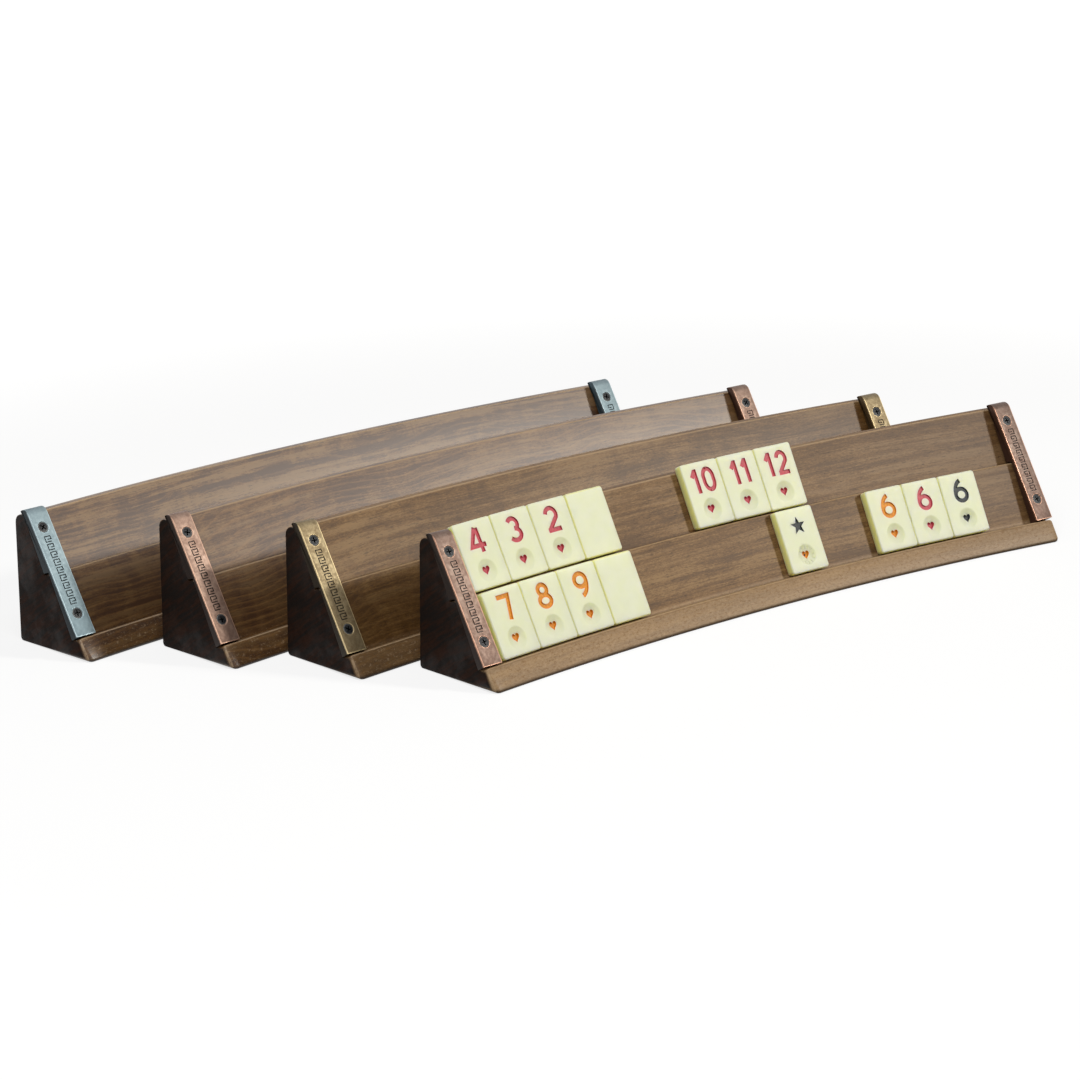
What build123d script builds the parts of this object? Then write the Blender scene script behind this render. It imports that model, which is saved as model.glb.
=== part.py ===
from build123d import *
from math import asin, atan2, cos, degrees, radians, sin, tan
import os

# Four walnut tile racks for rummy, each with two metal end bars, and fifteen tiles on the front rack.
# Frame: origin at the middle of the front rack's base, X along that rack, Y to its back, Z up.
# A section is drawn as (depth, height), with the depth counted backwards from the rack's front toe.

# Tiles
tile_width = 25.1
tile_height = 34.5
tile_thickness = 5.1
tile_edge_radius = 1.1
tile_side_gap = 0.4
dimple_diameter = 11.4
dimple_depth = 1.3
dimple_above_foot = 9.7
seat_clearance = 0.3

# Rack section, with slopes in degrees from the level
top_height = 68.0
top_thickness = 7.8
back_lean = 3.0
lip_height = 11.3
lip_slope = 54.0
face_slope = 62.7
shelf_slope = 18.0
lower_shelf_depth = 5.8
upper_shelf_depth = 4.3
tile_headroom = 0.8
toe_radius = 1.2
nose_radius = 0.9
top_front_radius = 0.8
top_back_radius = 5.0
heel_radius = 2.0
cheek_edge_radius = 0.7

# Rack plan: the rack bows round the player, about an upright axis in front of it
arc_radius = 1360.0
rack_length = 396.0
cheek_toe_in = 2.5

# End bars, which stand on the lip and end the two shelves
bar_width = 11.4
bar_rise = 4.8
bar_slope = 58.0
bar_lift = 1.3
bar_top_radius = 3.5
bar_edge_radius = 0.45
bar_seat_gap = 0.2
bar_notch_gap = 1.0
bar_blank_depth = 16.0

# Countersunk screws, two to a bar
screw_inset = 12.0
screw_head_diameter = 5.6
screw_shank_diameter = 3.0
screw_length = 16.0
screw_point_length = 2.5
screw_head_sink = 0.2
screw_clearance = 0.1
pilot_extra_depth = 1.0

# Each rack's sideways place, the space left in front of it, and its turn in degrees
rack_places = {
    "front_rack": (0.0, 0.0, 0.0),
    "second_rack": (-37.9, 3.3, 0.6),
    "third_rack": (-77.4, 1.6, 2.4),
    "back_rack": (-127.2, 2.5, 3.7),
}

# Tiles on the front rack: the row, the share of that row to the left of the group, and the tiles
# in order. A tile named face_down has its number against the wood.
tile_end_gap = 1.1
tile_groups = [
    ("upper", 0.0, ["tile_red_4", "tile_red_3", "tile_red_2", "tile_upper_face_down"]),
    ("upper", 0.4133, ["tile_red_10", "tile_red_11", "tile_red_12"]),
    ("lower", 0.0024, ["tile_yellow_7", "tile_yellow_8", "tile_yellow_9", "tile_lower_face_down"]),
    ("lower", 0.5412, ["tile_joker"]),
    ("lower", 0.7092, ["tile_yellow_6", "tile_red_6", "tile_black_6"]),
]


def step(slope, distance):
    """A step of the section: a slope of 0 goes back and 90 goes up."""
    return Vector(cos(radians(slope)), sin(radians(slope))) * distance


# Worked out from the sizes above
tile_pitch = tile_width + tile_side_gap
face_out = step(face_slope + 90, 1)

toe = Vector(0, 0)
lip_edge = Vector(lip_height / tan(radians(lip_slope)), lip_height)
lower_foot = lip_edge + step(-shelf_slope, lower_shelf_depth)
shelf_edge = lower_foot + step(face_slope, tile_height + tile_headroom)
upper_foot = shelf_edge + step(-shelf_slope, upper_shelf_depth)
upper_face_length = (top_height - upper_foot.Y) / sin(radians(face_slope))
top_edge = upper_foot + step(face_slope, upper_face_length)
top_back = top_edge + Vector(top_thickness, 0)
base_depth = top_back.X + back_lean
heel = Vector(base_depth, 0)
bar_foot = lip_edge + step(bar_slope, bar_lift)
bar_length = (top_height + bar_rise - bar_foot.Y) / sin(radians(bar_slope))

centre_radius = arc_radius + base_depth / 2
end_angle = degrees(asin(rack_length / 2 / centre_radius))
arc_axis = Axis((0, -centre_radius, 0), (0, 0, 1))
section_plane = Plane(origin=(0, -base_depth / 2, 0), x_dir=(0, 1, 0), z_dir=(1, 0, 0))


def outline(corners):
    """A closed outline through corners given as (point, rounding radius)."""
    face = make_face(Polyline([point for point, radius in corners], close=True))
    for point, radius in corners:
        if radius > 0:
            face = fillet(face.vertices().sort_by_distance(point)[0], radius)
    return face


def swept(section, half_angle):
    """Sweep a section along the arc, by the same angle to both sides of the middle."""
    start = (section_plane * section).rotate(arc_axis, -half_angle)
    return revolve(start, arc_axis, 2 * half_angle)


# The right end's frame: X out of the rack, Y back along the sawn end, Z up
end_turn = radians(end_angle)
end_middle = Vector(centre_radius * sin(end_turn), centre_radius * (cos(end_turn) - 1), 0)
end_frame = Location(end_middle) * Rot(0, 0, -cheek_toe_in)


def screw_place(distance):
    """Where a screw's axis meets the bar's front, at a distance up the bar, with Z pointing out."""
    point = bar_foot + step(bar_slope, distance)
    normal = step(bar_slope + 90, 1)
    front = Plane(
        origin=(-bar_width / 2, point.X - base_depth / 2, point.Y),
        x_dir=(1, 0, 0),
        z_dir=(0, normal.X, normal.Y),
    )
    return end_frame * Location(front)


screw_places = [screw_place(screw_inset), screw_place(bar_length - screw_inset)]


def turned(profile):
    """Turn a closed profile, given as (radius, height), about the Z axis."""
    return revolve(Plane.XZ * make_face(Polyline(profile, close=True)), Axis.Z, 360)


def screw():
    """A countersunk wood screw that points down, with the bar's front plane at height 0."""
    head = screw_head_diameter / 2
    shank = screw_shank_diameter / 2
    top = -screw_head_sink
    tip = top - screw_length
    return turned([
        (0, top),
        (head, top),
        (shank, top - (head - shank)),
        (shank, tip + screw_point_length),
        (0, tip),
    ])


def screw_hole():
    """The clearance hole and countersink that a screw needs in a bar."""
    head = screw_head_diameter / 2 + screw_clearance + screw_head_sink
    shank = screw_shank_diameter / 2 + screw_clearance
    return turned([
        (0, 0.5),
        (head + 0.5, 0.5),
        (shank, shank - head),
        (shank, -bar_blank_depth),
        (0, -bar_blank_depth),
    ])


def pilot_hole():
    """The hole in the wood for a screw, open at the front."""
    depth = screw_head_sink + screw_length + pilot_extra_depth
    radius = screw_shank_diameter / 2 + screw_clearance
    return Pos(0, 0, -depth / 2) * Cylinder(radius, depth)


def rack_body():
    """The walnut rack: the stepped section along the arc, sawn off at both ends, with rounded edges."""
    section = outline([
        (toe, toe_radius),
        (lip_edge, nose_radius),
        (lower_foot, 0),
        (shelf_edge, nose_radius),
        (upper_foot, 0),
        (top_edge, top_front_radius),
        (top_back, top_back_radius),
        (heel, heel_radius),
    ])
    blank = swept(section, end_angle + 1)
    reach = 4 * base_depth
    half = rack_length / 2
    slant = reach * tan(radians(cheek_toe_in))
    shift = end_middle.Y
    plan = make_face(Polyline([
        (half + slant, shift + reach),
        (half - slant, shift - reach),
        (slant - half, shift - reach),
        (-half - slant, shift + reach),
    ], close=True))
    body = blank & extrude(plan, top_height)
    ends = body.faces().sort_by(Axis.X)
    body = fillet(ends[-1].edges() + ends[0].edges(), cheek_edge_radius)
    for place in screw_places:
        hole = place * pilot_hole()
        body -= hole
        body -= mirror(hole, Plane.YZ)
    return body


def behind_bar(edge):
    """Whether an edge of the bar's blank lies along its back."""
    middle = edge.center() - Vector(0, -base_depth / 2, 0)
    offset = Vector(middle.Y, middle.Z) - bar_foot
    return offset.dot(step(bar_slope - 90, 1)) > bar_blank_depth - 0.1


def right_bar():
    """The right end bar: a straight front, and a back cut to the rack's two steps."""
    bar_head = bar_foot + step(bar_slope, bar_length)
    backwards = step(bar_slope - 90, bar_blank_depth)
    profile = outline([
        (bar_foot, 0),
        (bar_head, bar_top_radius),
        (bar_head + backwards, 0),
        (bar_foot + backwards, 0),
    ])
    blank = extrude(section_plane * profile, -bar_width)
    rims = [edge for edge in blank.edges().filter_by(Axis.X, reverse=True) if not behind_bar(edge)]
    blank = fillet(rims, bar_edge_radius)
    blank = end_frame * blank

    # The wood that the bar's back has to clear, with a gap all along
    tooth_foot = upper_foot + face_out * bar_seat_gap + step(face_slope, bar_notch_gap)
    tooth_nose = tooth_foot + step(180 - shelf_slope, upper_shelf_depth)
    lower_corner = lower_foot + face_out * bar_seat_gap + step(face_slope, bar_seat_gap)
    in_front = lower_corner + step(180 - shelf_slope, 3 * lower_shelf_depth)
    above = tooth_foot + step(face_slope, bar_length)
    seat = outline([
        (in_front, 0),
        (lower_corner, 0),
        (tooth_nose, 0),
        (tooth_foot, 0),
        (above, 0),
        (above + Vector(base_depth, 0), 0),
        (in_front - Vector(0, base_depth), 0),
    ])
    bar = blank - swept(seat, end_angle + 2)
    for place in screw_places:
        bar -= place * screw_hole()
    return bar


def tile():
    """A tile that stands on its foot, its face to -Y, with a thumb dimple below the number."""
    block = Pos(0, -tile_thickness / 2, tile_height / 2) * Box(tile_width, tile_thickness, tile_height)
    block = fillet(block.edges(), tile_edge_radius)
    ball = ((dimple_diameter / 2) ** 2 + dimple_depth ** 2) / (2 * dimple_depth)
    return block - Pos(0, dimple_depth - tile_thickness - ball, dimple_above_foot) * Sphere(ball)


def tile_place(row, share, slot):
    """A tile's place: its row, the share of the row to its group's left, and its slot in the group."""
    foot = {"lower": lower_foot, "upper": upper_foot}[row]
    corner = foot + (face_out + step(face_slope, 1)) * seat_clearance
    middle = corner + step(face_slope, tile_height / 2) + face_out * (tile_thickness / 2)
    bar_side = (end_frame * Pos(-bar_width, middle.X - base_depth / 2, 0)).position
    row_end = degrees(atan2(bar_side.X, bar_side.Y + centre_radius))
    distance = tile_end_gap + (slot + 0.5) * tile_pitch
    angle = (2 * share - 1) * row_end + degrees(distance / (arc_radius + middle.X))
    upright = Location((0, corner.X - base_depth / 2, corner.Y)) * Rot(face_slope - 90, 0, 0)
    axis_foot = Location(arc_axis.position)
    return axis_foot * Rot(0, 0, -angle) * axis_foot.inverse() * upright


pieces = {}

body = rack_body()
bar = right_bar()
screws = Compound([place * screw() for place in screw_places])
back = 0
for rack, (side, space, turn) in rack_places.items():
    stand = Location((side, back + space, 0)) * Rot(0, 0, turn)
    back += space + base_depth
    pieces[rack + "_body"] = stand * body
    pieces[rack + "_right_bar"] = stand * bar
    pieces[rack + "_left_bar"] = stand * mirror(bar, Plane.YZ)
    pieces[rack + "_right_screws"] = stand * screws
    pieces[rack + "_left_screws"] = stand * mirror(screws, Plane.YZ)

face_up = tile()
face_down = Pos(0, -tile_thickness, 0) * Rot(0, 0, 180) * face_up
for row, share, names in tile_groups:
    for slot, name in enumerate(names):
        place = tile_place(row, share, slot)
        pieces[name] = place * (face_down if name.endswith("face_down") else face_up)

os.makedirs("parts", exist_ok=True)
for name, shape in pieces.items():
    export_step(shape, f"parts/{name}.step")
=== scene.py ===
import bpy, bmesh
from math import asin, atan2, cos, exp, hypot, log, pi, radians, sin, tan
from mathutils import Matrix, Vector
from mathutils.geometry import delaunay_2d_cdt


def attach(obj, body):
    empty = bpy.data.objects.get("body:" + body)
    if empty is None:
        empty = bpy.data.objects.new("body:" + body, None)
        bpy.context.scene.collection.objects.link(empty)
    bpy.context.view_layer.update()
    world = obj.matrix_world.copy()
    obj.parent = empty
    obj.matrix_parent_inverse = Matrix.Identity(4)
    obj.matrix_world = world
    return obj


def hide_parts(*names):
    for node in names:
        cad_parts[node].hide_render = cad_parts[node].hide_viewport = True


# Four tile racks with their end bars and screws, and fifteen tiles on the front rack.
# Sizes are in mm and degrees, and colours are 8-bit values, unless a note says otherwise.
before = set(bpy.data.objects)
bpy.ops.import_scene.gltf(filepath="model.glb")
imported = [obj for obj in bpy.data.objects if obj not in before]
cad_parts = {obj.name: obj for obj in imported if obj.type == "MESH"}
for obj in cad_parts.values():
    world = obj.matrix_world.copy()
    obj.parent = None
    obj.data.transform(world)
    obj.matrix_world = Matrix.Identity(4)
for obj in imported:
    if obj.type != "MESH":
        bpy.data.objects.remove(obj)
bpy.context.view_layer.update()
scene = bpy.context.scene
mm = 0.001


def step(slope, distance):
    return Vector((cos(radians(slope)), sin(radians(slope)))) * distance


def circle(count, radius, centre):
    turns = [2 * pi * k / count for k in range(count)]
    return [centre + Vector((cos(turn), sin(turn))) * radius for turn in turns]


def sidesOf(corners, index):
    # the directions from a corner to the ones before and after it
    point = Vector(corners[index][0])
    return [(Vector(corners[(index + k) % len(corners)][0]) - point).normalized() for k in (-1, 1)]


def roundedCorners(corners, segments=5):
    # corners as (point, radius); a round corner becomes an arc of points
    outline = []
    for index, (point, radius) in enumerate(corners):
        point = Vector(point)
        if radius <= 0:
            outline.append(point)
            continue
        before, after = sidesOf(corners, index)
        half = before.angle(after) / 2
        middle = point + (before + after).normalized() * (radius / sin(half))
        first = point + before * (radius / tan(half)) - middle
        last = point + after * (radius / tan(half)) - middle
        sweep = atan2(first.x * last.y - first.y * last.x, first.dot(last))
        for part in range(segments + 1):
            outline.append(middle + Matrix.Rotation(sweep * part / segments, 2) @ first)
    return outline


def addObject(name, data):
    thing = bpy.data.objects.new(name, data)
    scene.collection.objects.link(thing)
    return thing


def dropObject(thing):
    data = thing.data
    bpy.data.objects.remove(thing)
    if data.users == 0:
        bpy.data.meshes.remove(data)


def toMesh(shape, name):
    mesh = bpy.data.meshes.new(name)
    shape.to_mesh(mesh)
    shape.free()
    return mesh


def bake(thing, name):
    # the modifiers' result as a plain mesh, in the object's stead
    bpy.context.view_layer.update()
    graph = bpy.context.evaluated_depsgraph_get()
    mesh = bpy.data.meshes.new_from_object(
        thing.evaluated_get(graph), preserve_all_data_layers=True, depsgraph=graph)
    mesh.name = name
    dropObject(thing)
    return mesh


def growMesh(source, tree, name, **inputs):
    # a geometry tree's result on a mesh; an input's name has _ for a space
    holder = addObject(f"{name}Source", source)
    modifier = holder.modifiers.new("grow", "NODES")
    modifier.node_group = tree
    for item in tree.interface.items_tree:
        label = item.name.replace(" ", "_")
        if item.item_type == "SOCKET" and item.in_out == "INPUT" and label in inputs:
            modifier[item.identifier] = inputs[label]
    return bake(holder, name)


def cutAway(blank, cutter, name):
    # what is left of a blank where the cutter has gone through it
    body, tool = addObject(f"{name}Blank", blank), addObject(f"{name}Cutter", cutter)
    cut = body.modifiers.new("cut", "BOOLEAN")
    cut.operation, cut.solver, cut.object = "DIFFERENCE", "EXACT", tool
    mesh = bake(body, name)
    dropObject(tool)
    return mesh


def finishMesh(mesh, sharpAngle, local=tuple):
    # smooth shading, and each point's place in its own piece, in mm, for the materials
    mesh.shade_smooth()
    mesh.set_sharp_from_angle(angle=radians(sharpAngle))
    place = mesh.attributes.new("place", "FLOAT_VECTOR", "POINT")
    for vertex, entry in zip(mesh.vertices, place.data):
        entry.vector = local(vertex.co)
    return mesh


def placeMesh(source, name, matrix, material=None, flip=False):
    # a copy of a mesh in mm, put in its place in metres
    mesh = source.copy()
    mesh.name = name
    mesh.transform(Matrix.Scale(mm, 4) @ matrix)
    if flip:
        mesh.flip_normals()
    if material:
        mesh.materials.clear()
        mesh.materials.append(material)
    return addObject(name, mesh)


def feed(tree, socket, value):
    # a socket takes another node's output or a plain value
    if isinstance(value, bpy.types.NodeSocket):
        tree.links.new(value, socket)
    else:
        socket.default_value = value


def feedAll(tree, node, values):
    # inputs by name, with _ for a space, or by number as i0, i1 and so on
    for key, value in values.items():
        numbered = key[0] == "i" and key[1:].isdigit()
        feed(tree, node.inputs[int(key[1:]) if numbered else key.replace("_", " ")], value)


def addNode(tree, kind, settings=None, **inputs):
    node = tree.nodes.new(kind)
    for key, value in (settings or {}).items():
        setattr(node, key, value)
    feedAll(tree, node, inputs)
    return node


def maths(tree, operation, first, second=0.5, clamp=False):
    settings = {"operation": operation, "use_clamp": clamp}
    return addNode(tree, "ShaderNodeMath", settings, i0=first, i1=second).outputs[0]


def plus(tree, first, *others):
    for other in others:
        first = maths(tree, "ADD", first, other)
    return first


def minus(tree, first, second):
    return maths(tree, "SUBTRACT", first, second)


def times(tree, first, *others):
    for other in others:
        first = maths(tree, "MULTIPLY", first, other)
    return first


def sizeOf(tree, value):
    return maths(tree, "ABSOLUTE", value)


def least(tree, first, second):
    return maths(tree, "MINIMUM", first, second)


def vectorMaths(tree, operation, output, **inputs):
    return addNode(tree, "ShaderNodeVectorMath", {"operation": operation}, **inputs).outputs[output]


def stretch(tree, vector, scale):
    return vectorMaths(tree, "MULTIPLY", 0, i0=vector, i1=scale)


def lengthOf(tree, vector):
    return vectorMaths(tree, "LENGTH", 1, i0=vector)


def split(tree, vector):
    return addNode(tree, "ShaderNodeSeparateXYZ", Vector=vector).outputs


def join(tree, x, y, z):
    return addNode(tree, "ShaderNodeCombineXYZ", X=x, Y=y, Z=z).outputs[0]


def noise(tree, vector, scale, detail=3.0, roughness=0.55, distortion=0.0):
    return addNode(tree, "ShaderNodeTexNoise", Vector=vector, Scale=scale, Detail=detail,
                   Roughness=roughness, Distortion=distortion).outputs[0]


def ramp(tree, value, low, high, toLow=0.0, toHigh=1.0):
    # low may be above high: the ramp then falls
    return addNode(tree, "ShaderNodeMapRange", {"interpolation_type": "SMOOTHSTEP"},
                   i0=value, i1=low, i2=high, i3=toLow, i4=toHigh).outputs[0]


def rgb(tone, share=1.0):
    # an 8-bit colour, or a darker share of it, as the shaders' linear values
    parts = [c * share / 255 for c in tone]
    return tuple(c / 12.92 if c <= 0.04045 else ((c + 0.055) / 1.055) ** 2.4 for c in parts) + (1.0,)


def blend(tree, factor, first, second):
    return addNode(tree, "ShaderNodeMix", {"data_type": "RGBA"}, i0=factor, i6=first, i7=second).outputs[2]


def stain(tree, colour, mask, tone, share=1.0):
    # a tone, or a darker share of it, laid over a colour where the mask says
    return blend(tree, mask, colour, rgb(tone, share))


def newGroup(kind, name, inputs, outputs):
    # an input is given by its number, or by the kind of its socket where it has none
    tree = bpy.data.node_groups.new(name, kind)
    for label, value in inputs.items():
        socketKind = {int: "Int", float: "Float"}.get(type(value), value)
        socket = tree.interface.new_socket(name=label, in_out="INPUT", socket_type=f"NodeSocket{socketKind}")
        if not isinstance(value, str):
            socket.default_value = value
    for label, socketKind in outputs.items():
        tree.interface.new_socket(name=label, in_out="OUTPUT", socket_type=f"NodeSocket{socketKind}")
    return tree, tree.nodes.new("NodeGroupInput").outputs, tree.nodes.new("NodeGroupOutput").inputs


def useGroup(tree, group, **inputs):
    node = tree.nodes.new("ShaderNodeGroup")
    node.node_tree = group
    feedAll(tree, node, inputs)
    return node.outputs


def endGeometry(tree, geometry, material, socket):
    # the end of each geometry tree: no instances, one finish
    plain = addNode(tree, "GeometryNodeRealizeInstances", Geometry=geometry)
    finished = addNode(tree, "GeometryNodeSetMaterial", Geometry=plain.outputs[0], Material=material)
    feed(tree, socket, finished.outputs[0])


def readAttribute(tree, name, kind):
    return addNode(tree, "GeometryNodeInputNamedAttribute", {"data_type": kind}, Name=name).outputs[0]


def newMaterial(name, **settings):
    # the settings hold all over the surface; also gives the stored place of each point
    material = bpy.data.materials.new(name)
    material.use_nodes = True
    tree = material.node_tree
    shader = tree.nodes["Principled BSDF"]
    feedAll(tree, shader, settings)
    place = addNode(tree, "ShaderNodeAttribute", {"attribute_name": "place"}).outputs["Vector"]
    return material, tree, shader, place


def endMaterial(tree, shader, height, strength, distance, **values):
    # the relief in metres, and what else changes over the surface
    bump = addNode(tree, "ShaderNodeBump", Height=height, Strength=strength, Distance=distance)
    feedAll(tree, shader, {"Normal": bump.outputs[0], **values})


def rubbedAndHighlitGroup():
    # the mask of an edge rubbed bright, real wear with a painted highlight, from the distance to it in mm
    tree, take, give = newGroup("ShaderNodeTree", "rubbedAndHighlitEdge", {
        "Place": "Vector", "Distance": 1.0, "Reach": 1.0, "Patch Size": 6.0, "Cover": 0.6}, {"Mask": "Float"})
    scale = maths(tree, "DIVIDE", 1.0, take["Patch Size"])
    patches = noise(tree, take["Place"], scale, 4.0, 0.62)
    ragged = noise(tree, take["Place"], times(tree, scale, 7.0), 3.0, 0.6)
    reach = times(tree, take["Reach"], plus(tree, ragged, 0.5))
    near = ramp(tree, take["Distance"], reach, times(tree, reach, 0.25))
    start = minus(tree, 0.95, take["Cover"])
    cover = ramp(tree, patches, start, plus(tree, start, 0.16))
    feed(tree, give["Mask"], times(tree, near, cover))
    return tree


rubbedAndHighlitEdge = rubbedAndHighlitGroup()
print("shared effects ready")

rackPlan = {
    "arcRadius": 1360.0, "length": 396.0, "toeIn": 2.5,
    "topHeight": 68.0, "topThickness": 7.8, "backLean": 3.0, "lipHeight": 11.3, "lipSlope": 54.0,
    "faceSlope": 62.7, "shelfSlope": 18.0, "lowerShelf": 5.8, "upperShelf": 4.3,
    "lowerFace": 35.3,  # a tile's height and some headroom
    "toeRadius": 1.2, "noseRadius": 0.9, "topFrontRadius": 0.8, "topBackRadius": 5.0, "heelRadius": 2.0,
    "cheekRadius": 0.7, "toeEnd": 4.0, "noseEnd": 2.6, "slicesAlong": 101, "endSlices": 5,
    # stained walnut
    "light": (156, 121, 73), "middle": (118, 83, 42), "dark": (68, 42, 19), "poreColour": (46, 28, 13),
    "endColour": (40, 20, 9), "endDark": (14, 8, 5), "rubbedAndHighlit": (184, 156, 122), "flameColour": (158, 116, 68),
    "greyAndSheen": (136, 111, 84), "fibres": 1.3, "clouds": 0.4, "pores": 0.6,
    # ramps over a distance in mm: from, to, and where not 0 and 1, the strength at either
    "sheenHeight": (24.0, 40.0, 0.2, 1.0), "paintedLowShade": (42.0, 30.0), "paintedFarShade": (0.0, 190.0), "toe": (11.0, 7.0),
    "paintedCornerShade": (0.9, 0.2, 0.0, 0.3), "paintedFloorShadow": (2.8, 0.8, 0.0, 0.85),
    # ramps over a noise, in the same way
    "greyClouds": (0.74, 0.96), "mottleDark": (0.50, 0.66, 0.0, 0.55), "mottlePale": (0.46, 0.34, 0.0, 0.4),
    "endStreaks": (0.40, 0.66), "endLacquer": (0.42, 0.62, 0.0, 0.20),
    "fibreRoughness": (0.3, 0.7, 0.08, -0.06),
    "edgeRubAndHighlight": {"Reach": 0.8, "Patch_Size": 26.0, "Cover": 0.7}, "edgeRubbedAndHighlit": 0.7,
    "toeRubAndHighlight": {"Reach": 0.8, "Patch_Size": 4.0, "Cover": 0.6}, "toeRubbedAndHighlit": 0.65,
    "roughness": 0.60, "endRoughness": 0.15, "specular": 0.12, "coatRoughness": 0.32,
    "relief": 0.45, "reliefDepth": 0.0002,
}
# the growth rings, and how far the grain bends, in mm
growthRings = {"width": 4.5, "tilt": 0.3, "wander": 60.0, "ripple": 4.0, "bend": 4.0, "seedStep": (31.0, 7.3)}
# each noise's scale in turns per mm along the board and across it, then detail, roughness and distortion
grainNoise = {
    "wander": ((0.007, 0.012, 0.012), 2.0, 0.5), "ripple": ((0.05, 0.1, 0.1), 3.0, 0.5),
    "streaks": ((0.010, 0.24, 0.24), 3.0, 0.6), "fibres": ((0.020, 1.1, 1.1), 6.0, 0.78),
    "specks": ((0.55, 1.7, 1.7), 3.0, 0.8), "pores": ((0.22, 1.5, 1.5), 3.0, 0.6),
    "blotches": ((0.018, 0.05, 0.05), 4.0, 0.6), "curl": ((0.07, 0.05, 0.05), 3.0, 0.55, 0.8),
    "mottle": ((0.5, 0.9, 0.9), 4.0, 0.75), "endGrain": ((0.1, 0.45, 0.5), 5.0, 0.7),
}
# from the front to the back: where each rack stands, behind the one before, and how its own board looks
racks = {
    "front_rack": {
        "side": 0.0, "space": 0.0, "turn": 0.0, "metal": "copper",
        "seed": 3.1, "flame": 0.06, "streaks": 0.6, "curl": 0.15, "tint": (122, 96, 66), "tinted": 0.4,
        "lacquer": 0.14, "paleAndLitLip": 0.5, "greyAndSheenShare": 0.4, "lowShade": 0.0, "farShade": 0.34},
    "second_rack": {
        "side": -37.9, "space": 3.3, "turn": 0.6, "metal": "brass",
        "seed": 11.7, "flame": 0.12, "streaks": 0.6, "curl": 0.4, "tint": (98, 68, 22), "tinted": 0.45,
        "lacquer": 0.26, "paleAndLitLip": 0.12, "greyAndSheenShare": 0.2, "lowShade": 0.45, "farShade": 0.26},
    "third_rack": {
        "side": -77.4, "space": 1.6, "turn": 2.4, "metal": "paleCopper",
        "seed": 23.9, "flame": 0.26, "streaks": 0.6, "curl": 0.5, "tint": (78, 47, 20), "tinted": 0.5,
        "lacquer": 0.62, "paleAndLitLip": 0.0, "greyAndSheenShare": 0.3, "lowShade": 0.5, "farShade": 0.28},
    "back_rack": {
        "side": -127.2, "space": 2.5, "turn": 3.7, "metal": "steel",
        "seed": 37.3, "flame": 0.15, "streaks": 1.5, "curl": 0.7, "tint": (72, 43, 18), "tinted": 0.5,
        "lacquer": 0.7, "paleAndLitLip": 0.0, "greyAndSheenShare": 0.3, "lowShade": 0.5, "farShade": 0.26},
}

# the section's corners as (depth, height)
faceSlope, shelfSlope = rackPlan["faceSlope"], rackPlan["shelfSlope"]
lipEdge = Vector((rackPlan["lipHeight"] / tan(radians(rackPlan["lipSlope"])), rackPlan["lipHeight"]))
lowerFoot = lipEdge + step(-shelfSlope, rackPlan["lowerShelf"])
shelfEdge = lowerFoot + step(faceSlope, rackPlan["lowerFace"])
upperFoot = shelfEdge + step(-shelfSlope, rackPlan["upperShelf"])
topEdge = upperFoot + step(faceSlope, (rackPlan["topHeight"] - upperFoot.y) / sin(radians(faceSlope)))
topBack = topEdge + Vector((rackPlan["topThickness"], 0))
baseDepth = topBack.x + rackPlan["backLean"]
# the bow, and the slanted saw cut at the right-hand end
centreRadius = rackPlan["arcRadius"] + baseDepth / 2
endAngle = asin(rackPlan["length"] / 2 / centreRadius)
endMiddle = Vector((centreRadius * sin(endAngle), centreRadius * (cos(endAngle) - 1), 0))
endTurn = Matrix.Rotation(-radians(rackPlan["toeIn"]), 4, "Z")
endFrame = Matrix.Translation(endMiddle) @ endTurn
cutDistance = (endTurn @ Vector((1, 0, 0))).dot(endMiddle + Vector((0, centreRadius, 0)))


def rackStand(rack):
    # a rack's place on the table
    back = 0.0
    for name, place in racks.items():
        back += place["space"]
        if name == rack:
            turn = Matrix.Rotation(radians(place["turn"]), 4, "Z")
            return Matrix.Translation((place["side"], back, 0)) @ turn
        back += baseDepth


def woodNoise(tree, name, vector):
    scale, *rest = grainNoise[name]
    return noise(tree, stretch(tree, vector, scale), 1.0, *rest)


def grainGroup():
    # a board's grain along X: slow streaks, fine fibres, pores, clouds, curl and flame lines
    inputs = {"Place": "Vector", "Seed": 0.0, "Ring Width": 7.0}
    masks = {label: "Float" for label in ("Streaks", "Fibres", "Pores", "Blotches", "Flame", "Curl")}
    tree, take, give = newGroup("ShaderNodeTree", "boardGrain", inputs, masks)
    seed = take["Seed"]
    offset = join(tree, *[times(tree, seed, far) for far in growthRings["seedStep"]], seed)
    board = vectorMaths(tree, "ADD", 0, i0=take["Place"], i1=offset)
    # the lines of growth bend slowly, so the board's grain wanders with them
    wander = woodNoise(tree, "wander", board)
    parts = split(tree, board)
    bend = times(tree, wander, growthRings["bend"])
    bent = join(tree, parts[0], plus(tree, parts[1], bend), plus(tree, parts[2], bend))
    across = plus(tree, times(tree, parts[1], growthRings["tilt"]), parts[2])
    across = plus(tree, across, times(tree, wander, growthRings["wander"]))
    across = plus(tree, across, times(tree, woodNoise(tree, "ripple", board), growthRings["ripple"]))
    turns = maths(tree, "FRACT", maths(tree, "DIVIDE", across, take["Ring Width"]))
    fibres, specks = woodNoise(tree, "fibres", bent), woodNoise(tree, "specks", bent)
    feed(tree, give["Flame"], times(tree, ramp(tree, turns, 0.55, 0.86), ramp(tree, turns, 0.97, 0.88)))
    feed(tree, give["Streaks"], woodNoise(tree, "streaks", bent))
    feed(tree, give["Fibres"], plus(tree, times(tree, fibres, 0.5), times(tree, specks, 0.5)))
    feed(tree, give["Pores"], ramp(tree, woodNoise(tree, "pores", bent), 0.57, 0.70))
    feed(tree, give["Blotches"], woodNoise(tree, "blotches", board))
    feed(tree, give["Curl"], woodNoise(tree, "curl", board))
    return tree


boardGrain = grainGroup()


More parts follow.
